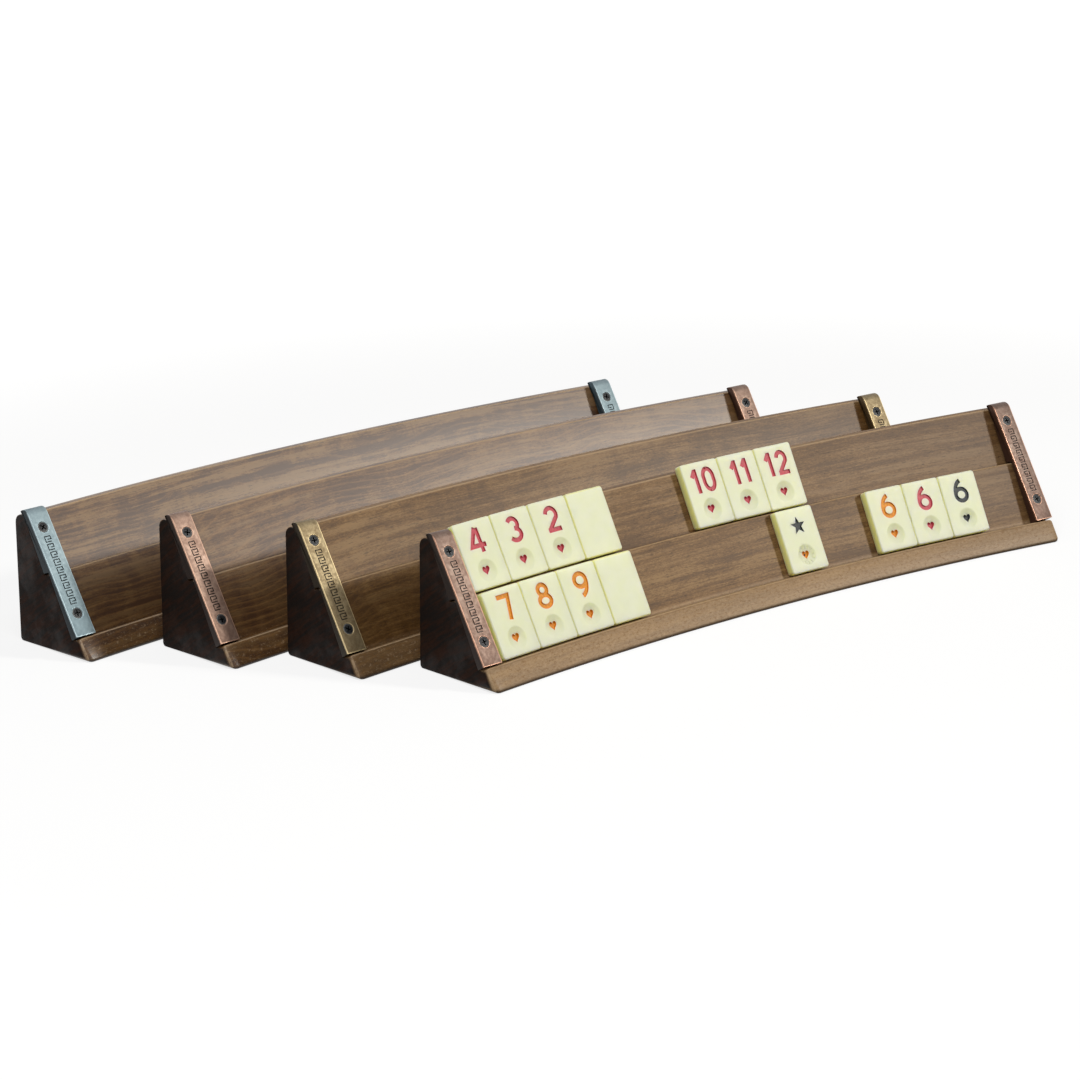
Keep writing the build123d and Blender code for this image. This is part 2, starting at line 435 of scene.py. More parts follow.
def toCorners(tree, flat, corners):
    # the distance to the nearest of some corners of the section
    nearest = None
    for corner in corners:
        distance = vectorMaths(tree, "DISTANCE", 1, i0=flat, i1=(0.0, corner.x, corner.y))
        nearest = distance if nearest is None else least(tree, nearest, distance)
    return nearest


def walnutMaterial(rack):
    # each rack is cut from its own board
    board, wood = racks[rack], rackPlan
    material, tree, shader, place = newMaterial(
        f"walnut {rack}", Specular_IOR_Level=wood["specular"], Coat_Roughness=wood["coatRoughness"])
    along, depth, height = split(tree, place)
    grain = useGroup(tree, boardGrain, Place=place, Seed=board["seed"], Ring_Width=growthRings["width"])
    # fine fibres over slow streaks
    shares = {"Streaks": board["streaks"], "Fibres": wood["fibres"], "Blotches": wood["clouds"],
              "Curl": board["curl"]}
    tone = plus(tree, *[times(tree, grain[label], share) for label, share in shares.items()])
    middle = sum(shares.values()) / 2
    colour = stain(tree, rgb(wood["dark"]), ramp(tree, tone, middle - 0.15, middle + 0.01), wood["middle"])
    colour = stain(tree, colour, ramp(tree, tone, middle - 0.02, middle + 0.14), wood["light"])
    colour = stain(tree, colour, board["tinted"], board["tint"])
    # grey clouds of the wood's own tone, kept towards the top as a painted sheen
    sheenHeight = ramp(tree, height, *wood["sheenHeight"])
    clouds = plus(tree, grain["Streaks"], times(tree, grain["Blotches"], 0.6))
    clouds = ramp(tree, clouds, *wood["greyClouds"])
    colour = stain(tree, colour, times(tree, clouds, sheenHeight, board["greyAndSheenShare"]), wood["greyAndSheen"])
    # painted shade: the lower tier of the back racks is darker where the rack in front shades it
    low = ramp(tree, height, *wood["paintedLowShade"], 0.0, board["lowShade"])
    colour = stain(tree, colour, low, wood["poreColour"])
    # painted shade, darker towards the right-hand end
    colour = stain(tree, colour, ramp(tree, along, *wood["paintedFarShade"], 0.0, board["farShade"]), wood["dark"])
    colour = stain(tree, colour, times(tree, grain["Flame"], board["flame"]), wood["flameColour"])
    colour = stain(tree, colour, times(tree, grain["Pores"], wood["pores"]), wood["poreColour"])
    # the lip is paler and mottled; the paleness, strongest on the front rack whose lip takes the light, is
    # partly painted light
    lip = ramp(tree, height, lipEdge.y + 0.6, lipEdge.y - 1.5)
    mottle = woodNoise(tree, "mottle", place)
    colour = stain(tree, colour, times(tree, lip, board["paleAndLitLip"]), wood["rubbedAndHighlit"])
    colour = stain(tree, colour, times(tree, lip, ramp(tree, mottle, *wood["mottleDark"])), wood["middle"])
    colour = stain(tree, colour, times(tree, lip, ramp(tree, mottle, *wood["mottlePale"])), wood["rubbedAndHighlit"])
    # painted shade in the corners of the shelves and a painted contact shadow along the floor
    flat = join(tree, 0.0, depth, height)
    cornerShade = ramp(tree, toCorners(tree, flat, (lowerFoot, upperFoot)), *wood["paintedCornerShade"])
    floorShadow = ramp(tree, height, *wood["paintedFloorShadow"])
    colour = stain(tree, colour, maths(tree, "MAXIMUM", cornerShade, floorShadow), wood["dark"], 0.5)
    # the sawn ends drink more stain
    half = rackPlan["length"] / 2
    outward = sizeOf(tree, along)
    end = ramp(tree, outward, half - 1.0, half - 0.15)
    slant = plus(tree, times(tree, depth, 0.55), times(tree, height, 0.85))
    endGrain = woodNoise(tree, "endGrain", join(tree, along, slant, times(tree, depth, 0.12)))
    endTone = stain(tree, rgb(wood["endDark"]), ramp(tree, endGrain, *wood["endStreaks"]), wood["endColour"])
    colour = blend(tree, end, colour, endTone)
    # edges and end corners are rubbed pale by hands and tiles, with a painted highlight along the noses and
    # the toe corners
    nearest = toCorners(tree, flat, (lipEdge, shelfEdge, topEdge))
    wornAndHighlit = useGroup(tree, rubbedAndHighlitEdge, Place=place, Distance=nearest, **wood["edgeRubAndHighlight"])["Mask"]
    colour = stain(tree, colour, times(tree, wornAndHighlit, wood["edgeRubbedAndHighlit"]), wood["rubbedAndHighlit"])
    rim = sizeOf(tree, minus(tree, outward, half - 1.3))
    toeWearAndHighlight = useGroup(tree, rubbedAndHighlitEdge, Place=place, Distance=rim, **wood["toeRubAndHighlight"])["Mask"]
    toe = ramp(tree, depth, *wood["toe"])
    colour = stain(tree, colour, times(tree, toeWearAndHighlight, toe, wood["toeRubbedAndHighlit"]), wood["rubbedAndHighlit"])
    # the lacquer is thin on the sawn ends
    fibreRough = ramp(tree, grain["Fibres"], *wood["fibreRoughness"])
    rough = plus(tree, fibreRough, wood["roughness"], times(tree, end, wood["endRoughness"]))
    coat = times(tree, minus(tree, 1.0, end), board["lacquer"])
    endCoat = times(tree, end, ramp(tree, grain["Blotches"], *wood["endLacquer"]))
    relief = minus(tree, times(tree, grain["Fibres"], 0.5), times(tree, grain["Pores"], 0.6))
    endMaterial(tree, shader, relief, wood["relief"], wood["reliefDepth"], Base_Color=colour, Roughness=rough,
                Coat_Weight=plus(tree, coat, endCoat))
    return material


def rackSection():
    # the section as a closed loop, depth along X and height along Y; "inset" is how far each point draws in
    # at the rack's ends, where "rounding" is the radius of the rounded end
    cheek = rackPlan["cheekRadius"]
    corners = [
        ((0, 0), rackPlan["toeRadius"], rackPlan["toeEnd"]),
        (lipEdge, rackPlan["noseRadius"], rackPlan["noseEnd"]),
        (lowerFoot, 0, -cheek), (shelfEdge, rackPlan["noseRadius"], cheek), (upperFoot, 0, -cheek),
        (topEdge, rackPlan["topFrontRadius"], cheek), (topBack, rackPlan["topBackRadius"], cheek),
        ((baseDepth, 0), rackPlan["heelRadius"], cheek),
    ]
    drawn = []
    for index, (point, radius, end) in enumerate(corners):
        before, after = sidesOf(corners, index)
        inward = (before + after).normalized() / sin(before.angle(after) / 2)
        drawn.append((Vector(point) + inward * end, max(radius - abs(end), 0.15 * radius)))
    points = roundedCorners([corner[:2] for corner in corners])
    targets = roundedCorners(drawn)
    mesh = bpy.data.meshes.new("rackSection")
    count = len(points)
    mesh.from_pydata([(p.x, p.y, 0) for p in points], [(k, (k + 1) % count) for k in range(count)], [])
    mesh.attributes.new("inset", "FLOAT_VECTOR", "POINT")
    mesh.attributes.new("rounding", "FLOAT", "POINT")
    for k, (point, target) in enumerate(zip(points, targets)):
        nearest = min(corners, key=lambda corner: (Vector(corner[0]) - point).length)
        mesh.attributes["inset"].data[k].vector = (target.x - point.x, target.y - point.y, 0)
        mesh.attributes["rounding"].data[k].value = abs(nearest[2])
    return mesh


def rackTree():
    # sweeps the section along the arc, meets the slanted saw cuts and rounds both ends
    slices = rackPlan["slicesAlong"]
    tree, take, give = newGroup("GeometryNodeTree", "sweptRack", {
        "Section": "Geometry", "Arc Radius": rackPlan["arcRadius"], "Centre Radius": centreRadius,
        "Cut Distance": 0.0, "Toe In": 0.0, "Slices": slices, "Wood": "Material",
        "Straight Share": 1 - 2 * rackPlan["endSlices"] / (slices - 1)}, {"Rack": "Geometry"})
    line = addNode(tree, "GeometryNodeCurvePrimitiveLine", Start=(-1, 0, 0), End=(1, 0, 0))
    spine = addNode(tree, "GeometryNodeResampleCurve", Curve=line.outputs[0], Count=take["Slices"])
    loop = addNode(tree, "GeometryNodeMeshToCurve", Mesh=take["Section"])
    sweep = addNode(tree, "GeometryNodeCurveToMesh", Curve=spine.outputs[0], Profile_Curve=loop.outputs[0],
                    Fill_Caps=True)
    place = split(tree, addNode(tree, "GeometryNodeInputPosition").outputs[0])
    inset = split(tree, readAttribute(tree, "inset", "FLOAT_VECTOR"))
    rounding = readAttribute(tree, "rounding", "FLOAT")
    outward = sizeOf(tree, place[0])
    # the last slices on each side turn through a quarter circle
    straight = take["Straight Share"]
    along = least(tree, maths(tree, "DIVIDE", outward, straight), 1.0)
    past = maths(tree, "MAXIMUM", minus(tree, outward, straight), 0.0)
    turn = times(tree, maths(tree, "DIVIDE", past, minus(tree, 1.0, straight)), pi / 2)
    pull = minus(tree, 1.0, maths(tree, "COSINE", turn))
    # the sweep stands the section on its head, so depth and height are turned round here
    depth = minus(tree, times(tree, inset[0], pull), place[1])
    height = minus(tree, times(tree, inset[1], pull), place[2])
    radius = plus(tree, take["Arc Radius"], depth)
    # where the saw cut crosses the circle of this radius
    cut = maths(tree, "ARCSINE", maths(tree, "DIVIDE", take["Cut Distance"], radius))
    reach = plus(tree, cut, take["Toe In"])
    cornerAngle = maths(tree, "DIVIDE", rounding, radius)
    flatPart = times(tree, along, minus(tree, reach, cornerAngle))
    angle = plus(tree, flatPart, times(tree, cornerAngle, maths(tree, "SINE", turn)))
    angle = times(tree, angle, maths(tree, "SIGN", place[0]))
    bentY = minus(tree, times(tree, radius, maths(tree, "COSINE", angle)), take["Centre Radius"])
    bent = join(tree, times(tree, radius, maths(tree, "SINE", angle)), bentY, height)
    move = addNode(tree, "GeometryNodeSetPosition", Geometry=sweep.outputs[0], Position=bent)
    outside = addNode(tree, "GeometryNodeFlipFaces", Mesh=move.outputs[0])
    endGeometry(tree, outside.outputs[0], take["Wood"], give["Rack"])
    return tree


def rackLocal(point):
    # along the arc, depth and height of a point of the rack
    radius = hypot(point.x, point.y + centreRadius)
    share = atan2(point.x, point.y + centreRadius)
    cut = asin(cutDistance / radius) + radians(rackPlan["toeIn"])
    return (share / cut * rackPlan["length"] / 2, radius - rackPlan["arcRadius"], point.z)


rackMesh = growMesh(
    rackSection(), rackTree(), "rack", Cut_Distance=cutDistance, Toe_In=radians(rackPlan["toeIn"]))
finishMesh(rackMesh, 40, rackLocal)
for rack in racks:
    wood = placeMesh(rackMesh, f"{rack}_wood", rackStand(rack), walnutMaterial(rack))
    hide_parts(f"{rack}_body")
    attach(wood, rack)
print("racks", len(rackMesh.polygons), "faces each")

barPlan = {
    "width": 11.4, "slope": 58.0, "lift": 1.3, "rise": 4.8, "topRadius": 4.6, "rimRadius": 0.5,
    "seatGap": 0.2, "notchGap": 1.0, "holeDepth": 16.0,
    # the engraved border
    "count": 9, "pitch": 4.25, "height": 2.9, "hook": 3.4, "line": 0.55, "depth": 0.4,
    "metallic": 0.6, "outerShade": 0.36, "cutDark": 0.42, "tones": (0.38, 0.63), "specks": (0.72, 0.78),
    "headShade": (-0.5, -2.6, 0.0, 0.55), "cutFrom": (-0.06, -0.2),
    "rimRubAndHighlight": {"Reach": 0.56, "Patch_Size": 24.0, "Cover": 0.85},
}
barMetals = {
    "copper": {
        "face": (127, 107, 95), "dark": (76, 51, 40), "bright": (182, 139, 116), "evenness": 0.0,
        "rightShade": 0.84, "roughness": 0.46, "slot": "antique_copper"},
    "paleCopper": {
        "face": (158, 132, 116), "dark": (74, 48, 36), "bright": (200, 160, 136), "evenness": 0.2,
        "rightShade": 0.86, "roughness": 0.46, "slot": "antique_copper"},
    "brass": {
        "face": (150, 134, 102), "dark": (80, 63, 38), "bright": (214, 192, 146), "evenness": 0.0,
        "rightShade": 0.95, "roughness": 0.48, "slot": "antique_brass"},
    "steel": {
        "face": (134, 150, 155), "dark": (60, 80, 90), "bright": (160, 178, 184), "evenness": 0.65,
        "rightShade": 0.95, "roughness": 0.52, "slot": "blued_steel"},
}
screwPlan = {
    "inset": 12.0, "headDiameter": 5.6, "shankDiameter": 3.0, "length": 16.0, "point": 2.5,
    "sink": 0.2, "clearance": 0.1, "spinSeed": 5,
    "crossWidth": 0.9, "crossReach": 2.0, "crossDepth": 1.3, "crossTaper": 0.45,
    "black": (31, 32, 34), "wornAndHighlit": (104, 104, 102), "deep": (6, 6, 7), "roughness": 0.4, "metallic": 0.7,
    "rimRubAndHighlight": {"Reach": 0.22, "Patch_Size": 2.5, "Cover": 0.7},
}
barSlope, barHalf = barPlan["slope"], barPlan["width"] / 2
barFoot = lipEdge + step(barSlope, barPlan["lift"])
barLength = (rackPlan["topHeight"] + barPlan["rise"] - barFoot.y) / sin(radians(barSlope))
screwsAlong = (screwPlan["inset"], barLength - screwPlan["inset"])
sinkRadius = screwPlan["headDiameter"] / 2 + screwPlan["clearance"] + screwPlan["sink"]


def barPoint(point):
    # from the rack's section to the bar's (along, out)
    offset = Vector(point) - barFoot
    return Vector((offset.dot(step(barSlope, 1)), offset.dot(step(barSlope + 90, 1))))


def prism(outline, low, high, place=lambda p, level: (p[0], p[1], level)):
    # a closed prism over an outline
    shape = bmesh.new()
    bottom, top = ([shape.verts.new(place(p, level)) for p in outline] for level in (low, high))
    for k in range(len(outline)):
        m = (k + 1) % len(outline)
        shape.faces.new((bottom[k], bottom[m], top[m], top[k]))
    shape.faces.new(bottom)
    shape.faces.new(top)
    bmesh.ops.recalc_face_normals(shape, faces=shape.faces)
    return shape


def turned(profile, segments):
    # a profile of (radius, height) turned about Z, closed on the axis
    shape = bmesh.new()
    rings = []
    for radius, height in profile:
        turns = [2 * pi * k / segments for k in range(segments if radius > 0 else 1)]
        rings.append([shape.verts.new((radius * cos(turn), radius * sin(turn), height)) for turn in turns])
    for first, second in zip(rings, rings[1:]):
        for k in range(segments):
            m = (k + 1) % segments
            corners = [first[k % len(first)], first[m % len(first)]]
            corners += [second[m % len(second)], second[k % len(second)]]
            corners = [c for n, c in enumerate(corners) if c not in corners[:n]]
            if len(corners) > 2:
                shape.faces.new(corners)
    bmesh.ops.recalc_face_normals(shape, faces=shape.faces)
    return shape


def strokeOutline(points, width):
    # a band of one width along a line, with square ends and mitred corners
    left, right = [], []
    for k, point in enumerate(points):
        before = (point - points[k - 1]).normalized() if k else (points[1] - point).normalized()
        after = (points[k + 1] - point).normalized() if k < len(points) - 1 else before
        along = (before + after).normalized()
        side = Vector((-along.y, along.x)) * (width / 2 / max(0.35, along.dot(after)))
        left.append(point + side)
        right.append(point - side)
    return left + right[::-1]


def engravedRowTree():
    # repeats one cutter along the bar
    tree, take, give = newGroup("GeometryNodeTree", "engravedRow", {
        "Cutter": "Geometry", "Count": barPlan["count"], "Pitch": barPlan["pitch"], "Start": 0.0,
        "Tool": "Material"}, {"Row": "Geometry"})
    first, gap = join(tree, 0.0, take["Start"], 0.0), join(tree, 0.0, take["Pitch"], 0.0)
    line = addNode(tree, "GeometryNodeMeshLine", Count=take["Count"], Offset=gap, Start_Location=first)
    copies = addNode(tree, "GeometryNodeInstanceOnPoints", Points=line.outputs[0], Instance=take["Cutter"])
    endGeometry(tree, copies.outputs[0], take["Tool"], give["Row"])
    return tree


def engravedRow():
    # one hook of a plain key border, repeated along the bar
    half, tall = barPlan["hook"] / 2, barPlan["height"] / 2
    hook = [(-half, -tall), (half, -tall), (half, tall), (-half, tall), (-half, -tall * 0.1),
            (half * 0.25, -tall * 0.1)]
    shape = prism(strokeOutline([Vector(p) for p in hook], barPlan["line"]), -barPlan["depth"], 1)
    start = (barLength - barPlan["pitch"] * (barPlan["count"] - 1)) / 2
    return growMesh(toMesh(shape, "hook"), engravedRowTree(), "engravedRow", Start=start)


def buildBarMesh():
    # the section of the bar as (along, out); its back follows the rack's two steps
    footGap = step(faceSlope + 90, 1) * barPlan["seatGap"]
    lowerCorner = lowerFoot + footGap + step(faceSlope, barPlan["seatGap"])
    toothFoot = upperFoot + footGap + step(faceSlope, barPlan["notchGap"])
    toothNose = toothFoot + step(180 - shelfSlope, rackPlan["upperShelf"])
    low, foot, nose = barPoint(lowerCorner), barPoint(toothFoot), barPoint(toothNose)
    shelf = barPoint(lowerCorner + step(180 - shelfSlope, 1)) - low
    above = barPoint(toothFoot + step(faceSlope, 1)) - foot
    start = low - shelf * (low.x / shelf.x)
    head = foot + above * ((barLength - foot.x) / above.x)
    corners = [((0, 0), 0), ((barLength, 0), barPlan["topRadius"])]
    corners += [(p, 0) for p in (head, foot, nose, low, start)]
    shape = prism(roundedCorners(corners, 8), -barHalf, barHalf, lambda p, level: (level, p.x, p.y))
    # soften every rim but those against the wood
    front = barPlan["topRadius"] + 0.1
    rims = [e for e in shape.edges if e.calc_face_angle(0) > radians(40)
            and all(v.co.z > -front or v.co.y > barLength - 0.1 for v in e.verts)]
    bmesh.ops.bevel(shape, geom=rims, offset=barPlan["rimRadius"], segments=3, profile=0.5, affect="EDGES",
                    clamp_overlap=True)
    # countersinks, shank holes and the engraved row
    holes = bmesh.new()
    shank, deep = screwPlan["shankDiameter"] / 2 + screwPlan["clearance"], -barPlan["holeDepth"]
    profile = [(0, 0.5), (sinkRadius + 0.5, 0.5), (shank, shank - sinkRadius), (shank, deep), (0, deep)]
    for along in screwsAlong:
        hole = toMesh(turned(profile, 40), "hole")
        hole.transform(Matrix.Translation((0, along, 0)))
        holes.from_mesh(hole)
        bpy.data.meshes.remove(hole)
    holes.from_mesh(engravedRow())
    return finishMesh(cutAway(toMesh(shape, "bar"), toMesh(holes, "holes"), "bar"), 35)


def barMaterial(metal, side):
    # old metal; the right-hand bars get a painted shade, a little darker
    finish = barMetals[metal]
    dark, bright = finish["dark"], finish["bright"]
    face = [c * (finish["rightShade"] if side == "right" else 1) for c in finish["face"]]
    half = [0.5 * (a + b) for a, b in zip(face, dark)]
    material, tree, shader, place = newMaterial(f"antique {metal} {side}", Metallic=barPlan["metallic"])
    across, along, out = split(tree, place)
    blotches, patches = noise(tree, place, 0.16, 5.0, 0.6), noise(tree, place, 0.55, 4.0, 0.62)
    tone = plus(tree, times(tree, blotches, 0.6), times(tree, patches, 0.4))
    colour = stain(tree, rgb(half), ramp(tree, tone, *barPlan["tones"], finish["evenness"], 1.0), face)
    # painted shade: darker towards the foot, over the head and on the flanks
    colour = stain(tree, colour, ramp(tree, along, barLength * 0.5, 6.0, 0.0, 0.35), dark)
    colour = stain(tree, colour, ramp(tree, out, *barPlan["headShade"]), dark)
    outer = ramp(tree, across, barHalf - 0.25, barHalf - 0.02, 0.0, 0.92)
    colour = stain(tree, colour, outer, dark, barPlan["outerShade"])
    colour = stain(tree, colour, ramp(tree, across, 0.25 - barHalf, 0.02 - barHalf, 0.0, 0.8), dark)
    # and down in the engraving
    aside = sizeOf(tree, across)
    fromMiddle = sizeOf(tree, minus(tree, along, barLength / 2))
    inward = maths(tree, "LESS_THAN", aside, barHalf - 1.5)
    middle = maths(tree, "LESS_THAN", fromMiddle, barPlan["pitch"] * barPlan["count"] / 2 + 0.5)
    deep = ramp(tree, out, *barPlan["cutFrom"])
    colour = stain(tree, colour, times(tree, inward, middle, deep), dark, barPlan["cutDark"])
    # rims rubbed bright with a painted highlight, and painted highlight rings round the two countersinks
    edge = least(tree, minus(tree, barHalf, aside), least(tree, along, minus(tree, barLength, along)))
    edge = plus(tree, edge, times(tree, sizeOf(tree, out), 0.5))
    toScrew = join(tree, across, minus(tree, fromMiddle, barLength / 2 - screwPlan["inset"]), 0.0)
    ring = sizeOf(tree, minus(tree, lengthOf(tree, toScrew), sinkRadius))
    edge = least(tree, edge, times(tree, ring, 5.0))
    wornAndHighlit = useGroup(tree, rubbedAndHighlitEdge, Place=place, Distance=edge, **barPlan["rimRubAndHighlight"])["Mask"]
    colour = stain(tree, colour, wornAndHighlit, bright)
    specks = ramp(tree, noise(tree, place, 2.2, 2.0, 0.5), *barPlan["specks"])
    colour = stain(tree, colour, times(tree, specks, 0.4), dark, 0.5)
    rough = ramp(tree, patches, 0.3, 0.7, finish["roughness"] + 0.05, finish["roughness"] - 0.04)
    relief = plus(tree, patches, times(tree, noise(tree, place, 3.0), 0.2))
    endMaterial(tree, shader, relief, 0.05, 0.00012, Base_Color=colour,
                Roughness=minus(tree, rough, times(tree, wornAndHighlit, 0.12)))
    return material


barTurn = Matrix.Rotation(radians(barSlope), 4, "X")
rightEnd = endFrame @ Matrix.Translation((-barHalf, barFoot.x - baseDepth / 2, barFoot.y)) @ barTurn
leftEnd = Matrix.Scale(-1, 4, (1, 0, 0)) @ rightEnd
barEnds = {"left": leftEnd, "right": rightEnd}
barMesh = buildBarMesh()
metals = {(metal, side): barMaterial(metal, side) for metal in barMetals for side in barEnds}
for rack, facts in racks.items():
    metal = facts["metal"]
    for side, end in barEnds.items():
        name, spot = f"{rack}_{side}_plate", rackStand(rack) @ end
        bar = placeMesh(barMesh, name, spot, metals[metal, side], flip=side == "left")
        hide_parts(f"{rack}_{side}_bar")
        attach(bar, rack)
print("bars", len(barMesh.polygons), "faces each")


def screwMaterial():
    material, tree, shader, place = newMaterial("black screw", Metallic=screwPlan["metallic"])
    x, y, height = split(tree, place)
    black, wornAndHighlit, rough = (screwPlan[key] for key in ("black", "wornAndHighlit", "roughness"))
    # the rim rubbed bright, partly a painted highlight
    fromRim = minus(tree, screwPlan["headDiameter"] / 2, lengthOf(tree, join(tree, x, y, 0.0)))
    fromRim = sizeOf(tree, minus(tree, fromRim, 0.25))
    rubbedAndHighlit = useGroup(tree, rubbedAndHighlitEdge, Place=place, Distance=fromRim, **screwPlan["rimRubAndHighlight"])["Mask"]
    dust = ramp(tree, noise(tree, place, 1.2, 4.0, 0.6), 0.45, 0.75)
    colour = stain(tree, rgb(black), times(tree, dust, 0.25), wornAndHighlit)
    colour = stain(tree, colour, rubbedAndHighlit, wornAndHighlit)
    # painted shade, near black down in the cross recess
    colour = stain(tree, colour, ramp(tree, height, -0.12, -0.45), screwPlan["deep"])
    endMaterial(tree, shader, noise(tree, place, 2.5), 0.15, 0.0001, Base_Color=colour,
                Roughness=ramp(tree, dust, 0.0, 1.0, rough, rough + 0.2))
    return material


def screwMesh():
    # a countersunk cross-head screw, its head's face at height 0
    head, shank, tip = screwPlan["headDiameter"] / 2, screwPlan["shankDiameter"] / 2, -screwPlan["length"]
    profile = [(0, 0.0), (head - 0.35, -0.02), (head - 0.1, -0.12), (head, -0.3), (shank, shank - head - 0.3),
               (shank, tip + screwPlan["point"]), (0, tip)]
    reach, half = screwPlan["crossReach"], screwPlan["crossWidth"] / 2
    inner = half + 0.15
    arm = [Vector(p) for p in ((reach, -half), (reach, half), (inner, half), (half, inner))]
    cross = [Matrix.Rotation(pi / 2 * k, 2) @ p for k in range(4) for p in arm]
    recess = prism(cross, -screwPlan["crossDepth"], 0.5)
    for vertex in recess.verts:
        if vertex.co.z < 0:
            vertex.co.xy *= screwPlan["crossTaper"]
    return finishMesh(cutAway(toMesh(turned(profile, 36), "screw"), toMesh(recess, "cross"), "screw"), 30)


def screwTree():
    # one screw at each point, turned to the point's facing and spun by chance
    tree, take, give = newGroup("GeometryNodeTree", "setScrews", {
        "Points": "Geometry", "Screw": "Object", "Size": 1.0, "Spin Seed": screwPlan["spinSeed"],
        "Finish": "Material"}, {"Screws": "Geometry"})
    facing = readAttribute(tree, "facing", "FLOAT_VECTOR")
    screw = addNode(tree, "GeometryNodeObjectInfo", Object=take["Screw"]).outputs["Geometry"]
    spin = addNode(tree, "FunctionNodeRandomValue", {"data_type": "FLOAT"}, i3=2 * pi, Seed=take["Spin Seed"])
    copies = addNode(tree, "GeometryNodeInstanceOnPoints", Points=take["Points"], Instance=screw,
                     Rotation=facing, Scale=take["Size"])
    spun = addNode(tree, "GeometryNodeRotateInstances", Instances=copies.outputs[0],
                   Rotation=join(tree, 0.0, 0.0, spin.outputs[1]))
    endGeometry(tree, spun.outputs[0], take["Finish"], give["Screws"])
    return tree


screwSource = addObject("screwSource", screwMesh())
setScrews = screwTree()
blackScrew = screwMaterial()
for number, rack in enumerate(racks):
    spots = [rackStand(rack) @ end @ Matrix.Translation((0, along, -screwPlan["sink"]))
             for end in (leftEnd, rightEnd) for along in screwsAlong]
    points = bpy.data.meshes.new("screwPoints")
    points.from_pydata([spot.translation * mm for spot in spots], [], [])
    facing = points.attributes.new("facing", "FLOAT_VECTOR", "POINT")
    for spot, entry in zip(spots, facing.data):
        out = (spot.to_3x3() @ Vector((0, 0, 1))).normalized()
        entry.vector = out.to_track_quat("Z", "Y").to_euler()
    mesh = growMesh(points, setScrews, f"{rack}_screws", Screw=screwSource, Size=mm,
                    Spin_Seed=screwPlan["spinSeed"] + number, Finish=blackScrew)
    screws = addObject(f"{rack}_screws", mesh)
    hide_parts(f"{rack}_left_screws", f"{rack}_right_screws")
    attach(screws, rack)
dropObject(screwSource)
print("screws set")

tilePlan = {
    "width": 25.1, "height": 34.5, "thickness": 5.1, "edgeRadius": 0.8, "cornerRadius": 1.5,
    "dimpleDiameter": 11.4, "dimpleDepth": 1.3, "dimpleAboveFoot": 8.7, "dimpleRim": 0.1,
    "dimpleRings": (6.3, 6.0, 5.7, 5.4, 5.0, 4.3, 3.5, 2.6, 1.6, 0.7),
    "sideGap": 0.4, "seatClearance": 0.3, "endGap": 1.1,
    # the figures: heights above the foot, then widths
    "figureTop": 31.1, "figureBottom": 17.6, "stroke": 2.35,
    "single": 9.7, "double": 8.6, "one": 5.2, "four": 11.0, "space": 2.1, "figureDepth": 0.75,
    "heartWidth": 4.7, "heartHeight": 4.6, "heartDepth": 1.0,
    "starRadius": 5.0, "starWaist": 2.1, "starHeight": 24.7,
    "rays": 12, "rayFrom": 3.5, "rayTo": 5.0, "rayNarrow": 0.16, "rayWide": 0.3, "rayDepth": 0.32,
    "seedRadius": 0.6, "seedDepth": 1.3, "seedAbove": 0.3,
    "face": (236, 239, 202), "shade": (232, 236, 193), "edge": (250, 246, 164), "roughness": 0.46,
    "glow": 0.9, "glowReach": (1.0, 0.95, 0.6), "glowDepth": 0.009,  # light inside the material, in metres
    "rows": [
        {"row": "upper", "share": 0.0, "tiles": ["red_4", "red_3", "red_2", "upper_face_down"]},
        {"row": "upper", "share": 0.4133, "tiles": ["red_10", "red_11", "red_12"]},
        {"row": "lower", "share": 0.0024, "tiles": ["yellow_7", "yellow_8", "yellow_9", "lower_face_down"]},
        {"row": "lower", "share": 0.5412, "tiles": ["joker"]},
        {"row": "lower", "share": 0.7092, "tiles": ["yellow_6", "red_6", "black_6"]},
    ],
    # what the two turned tiles carry on the side that leans on the wood
    "turned": {"upper_face_down": "black_1", "lower_face_down": "yellow_10"},
}
tilePaints = {
    "red": {"colour": (206, 74, 86), "roughness": 0.45},
    "yellow": {"colour": (238, 154, 36), "roughness": 0.5},
    "black": {"colour": (50, 55, 55), "roughness": 0.5},
}
dimple = Vector((0, tilePlan["dimpleAboveFoot"]))


def bow(middle, size, start, end, segments=14):
    # part of an ellipse, in shares of the figure's box
    turns = [radians(start + (end - start) * k / segments) for k in range(segments + 1)]
    return [(middle[0] + size[0] * cos(turn), middle[1] + size[1] * sin(turn)) for turn in turns]


# each figure as strokes, with X to the right and Y up, in shares of its box
figures = {
    "0": [bow((0.5, 0.62), (0.5, 0.38), 90, 180) + bow((0.5, 0.38), (0.5, 0.38), 180, 270),
          bow((0.5, 0.38), (0.5, 0.38), -90, 0) + bow((0.5, 0.62), (0.5, 0.38), 0, 90)],
    "1": [[(-0.1, 0.70), (0.75, 1.0)], [(0.86, 1.09), (0.86, -0.09)]],
    "2": [bow((0.48, 0.70), (0.46, 0.30), 168, -28) + [(0.0, 0.0)], [(-0.12, 0.0), (1.06, 0.0)]],
    "3": [bow((0.44, 0.735), (0.42, 0.265), 150, -72), bow((0.44, 0.27), (0.50, 0.27), 84, -150)],
    "4": [[(0.56, 1.06), (0.0, 0.24), (1.06, 0.24)], [(0.66, 1.04), (0.72, -0.08)]],
    "6": [bow((0.84, 0.31), (0.84, 0.72), 180, 103), bow((0.5, 0.30), (0.5, 0.30), -5, 185),
          bow((0.5, 0.30), (0.5, 0.30), 175, 365)],
    "7": [[(-0.1, 1.0), (0.9, 1.0), (0.58, -0.08)]],
    "8": [bow(middle, size, start, start + 200)
          for middle, size in (((0.5, 0.76), (0.38, 0.24)), ((0.5, 0.26), (0.5, 0.26)))
          for start in (-10, 170)],
}
figures["9"] = [[(1 - x, 1 - y) for x, y in stroke] for stroke in figures["6"]]


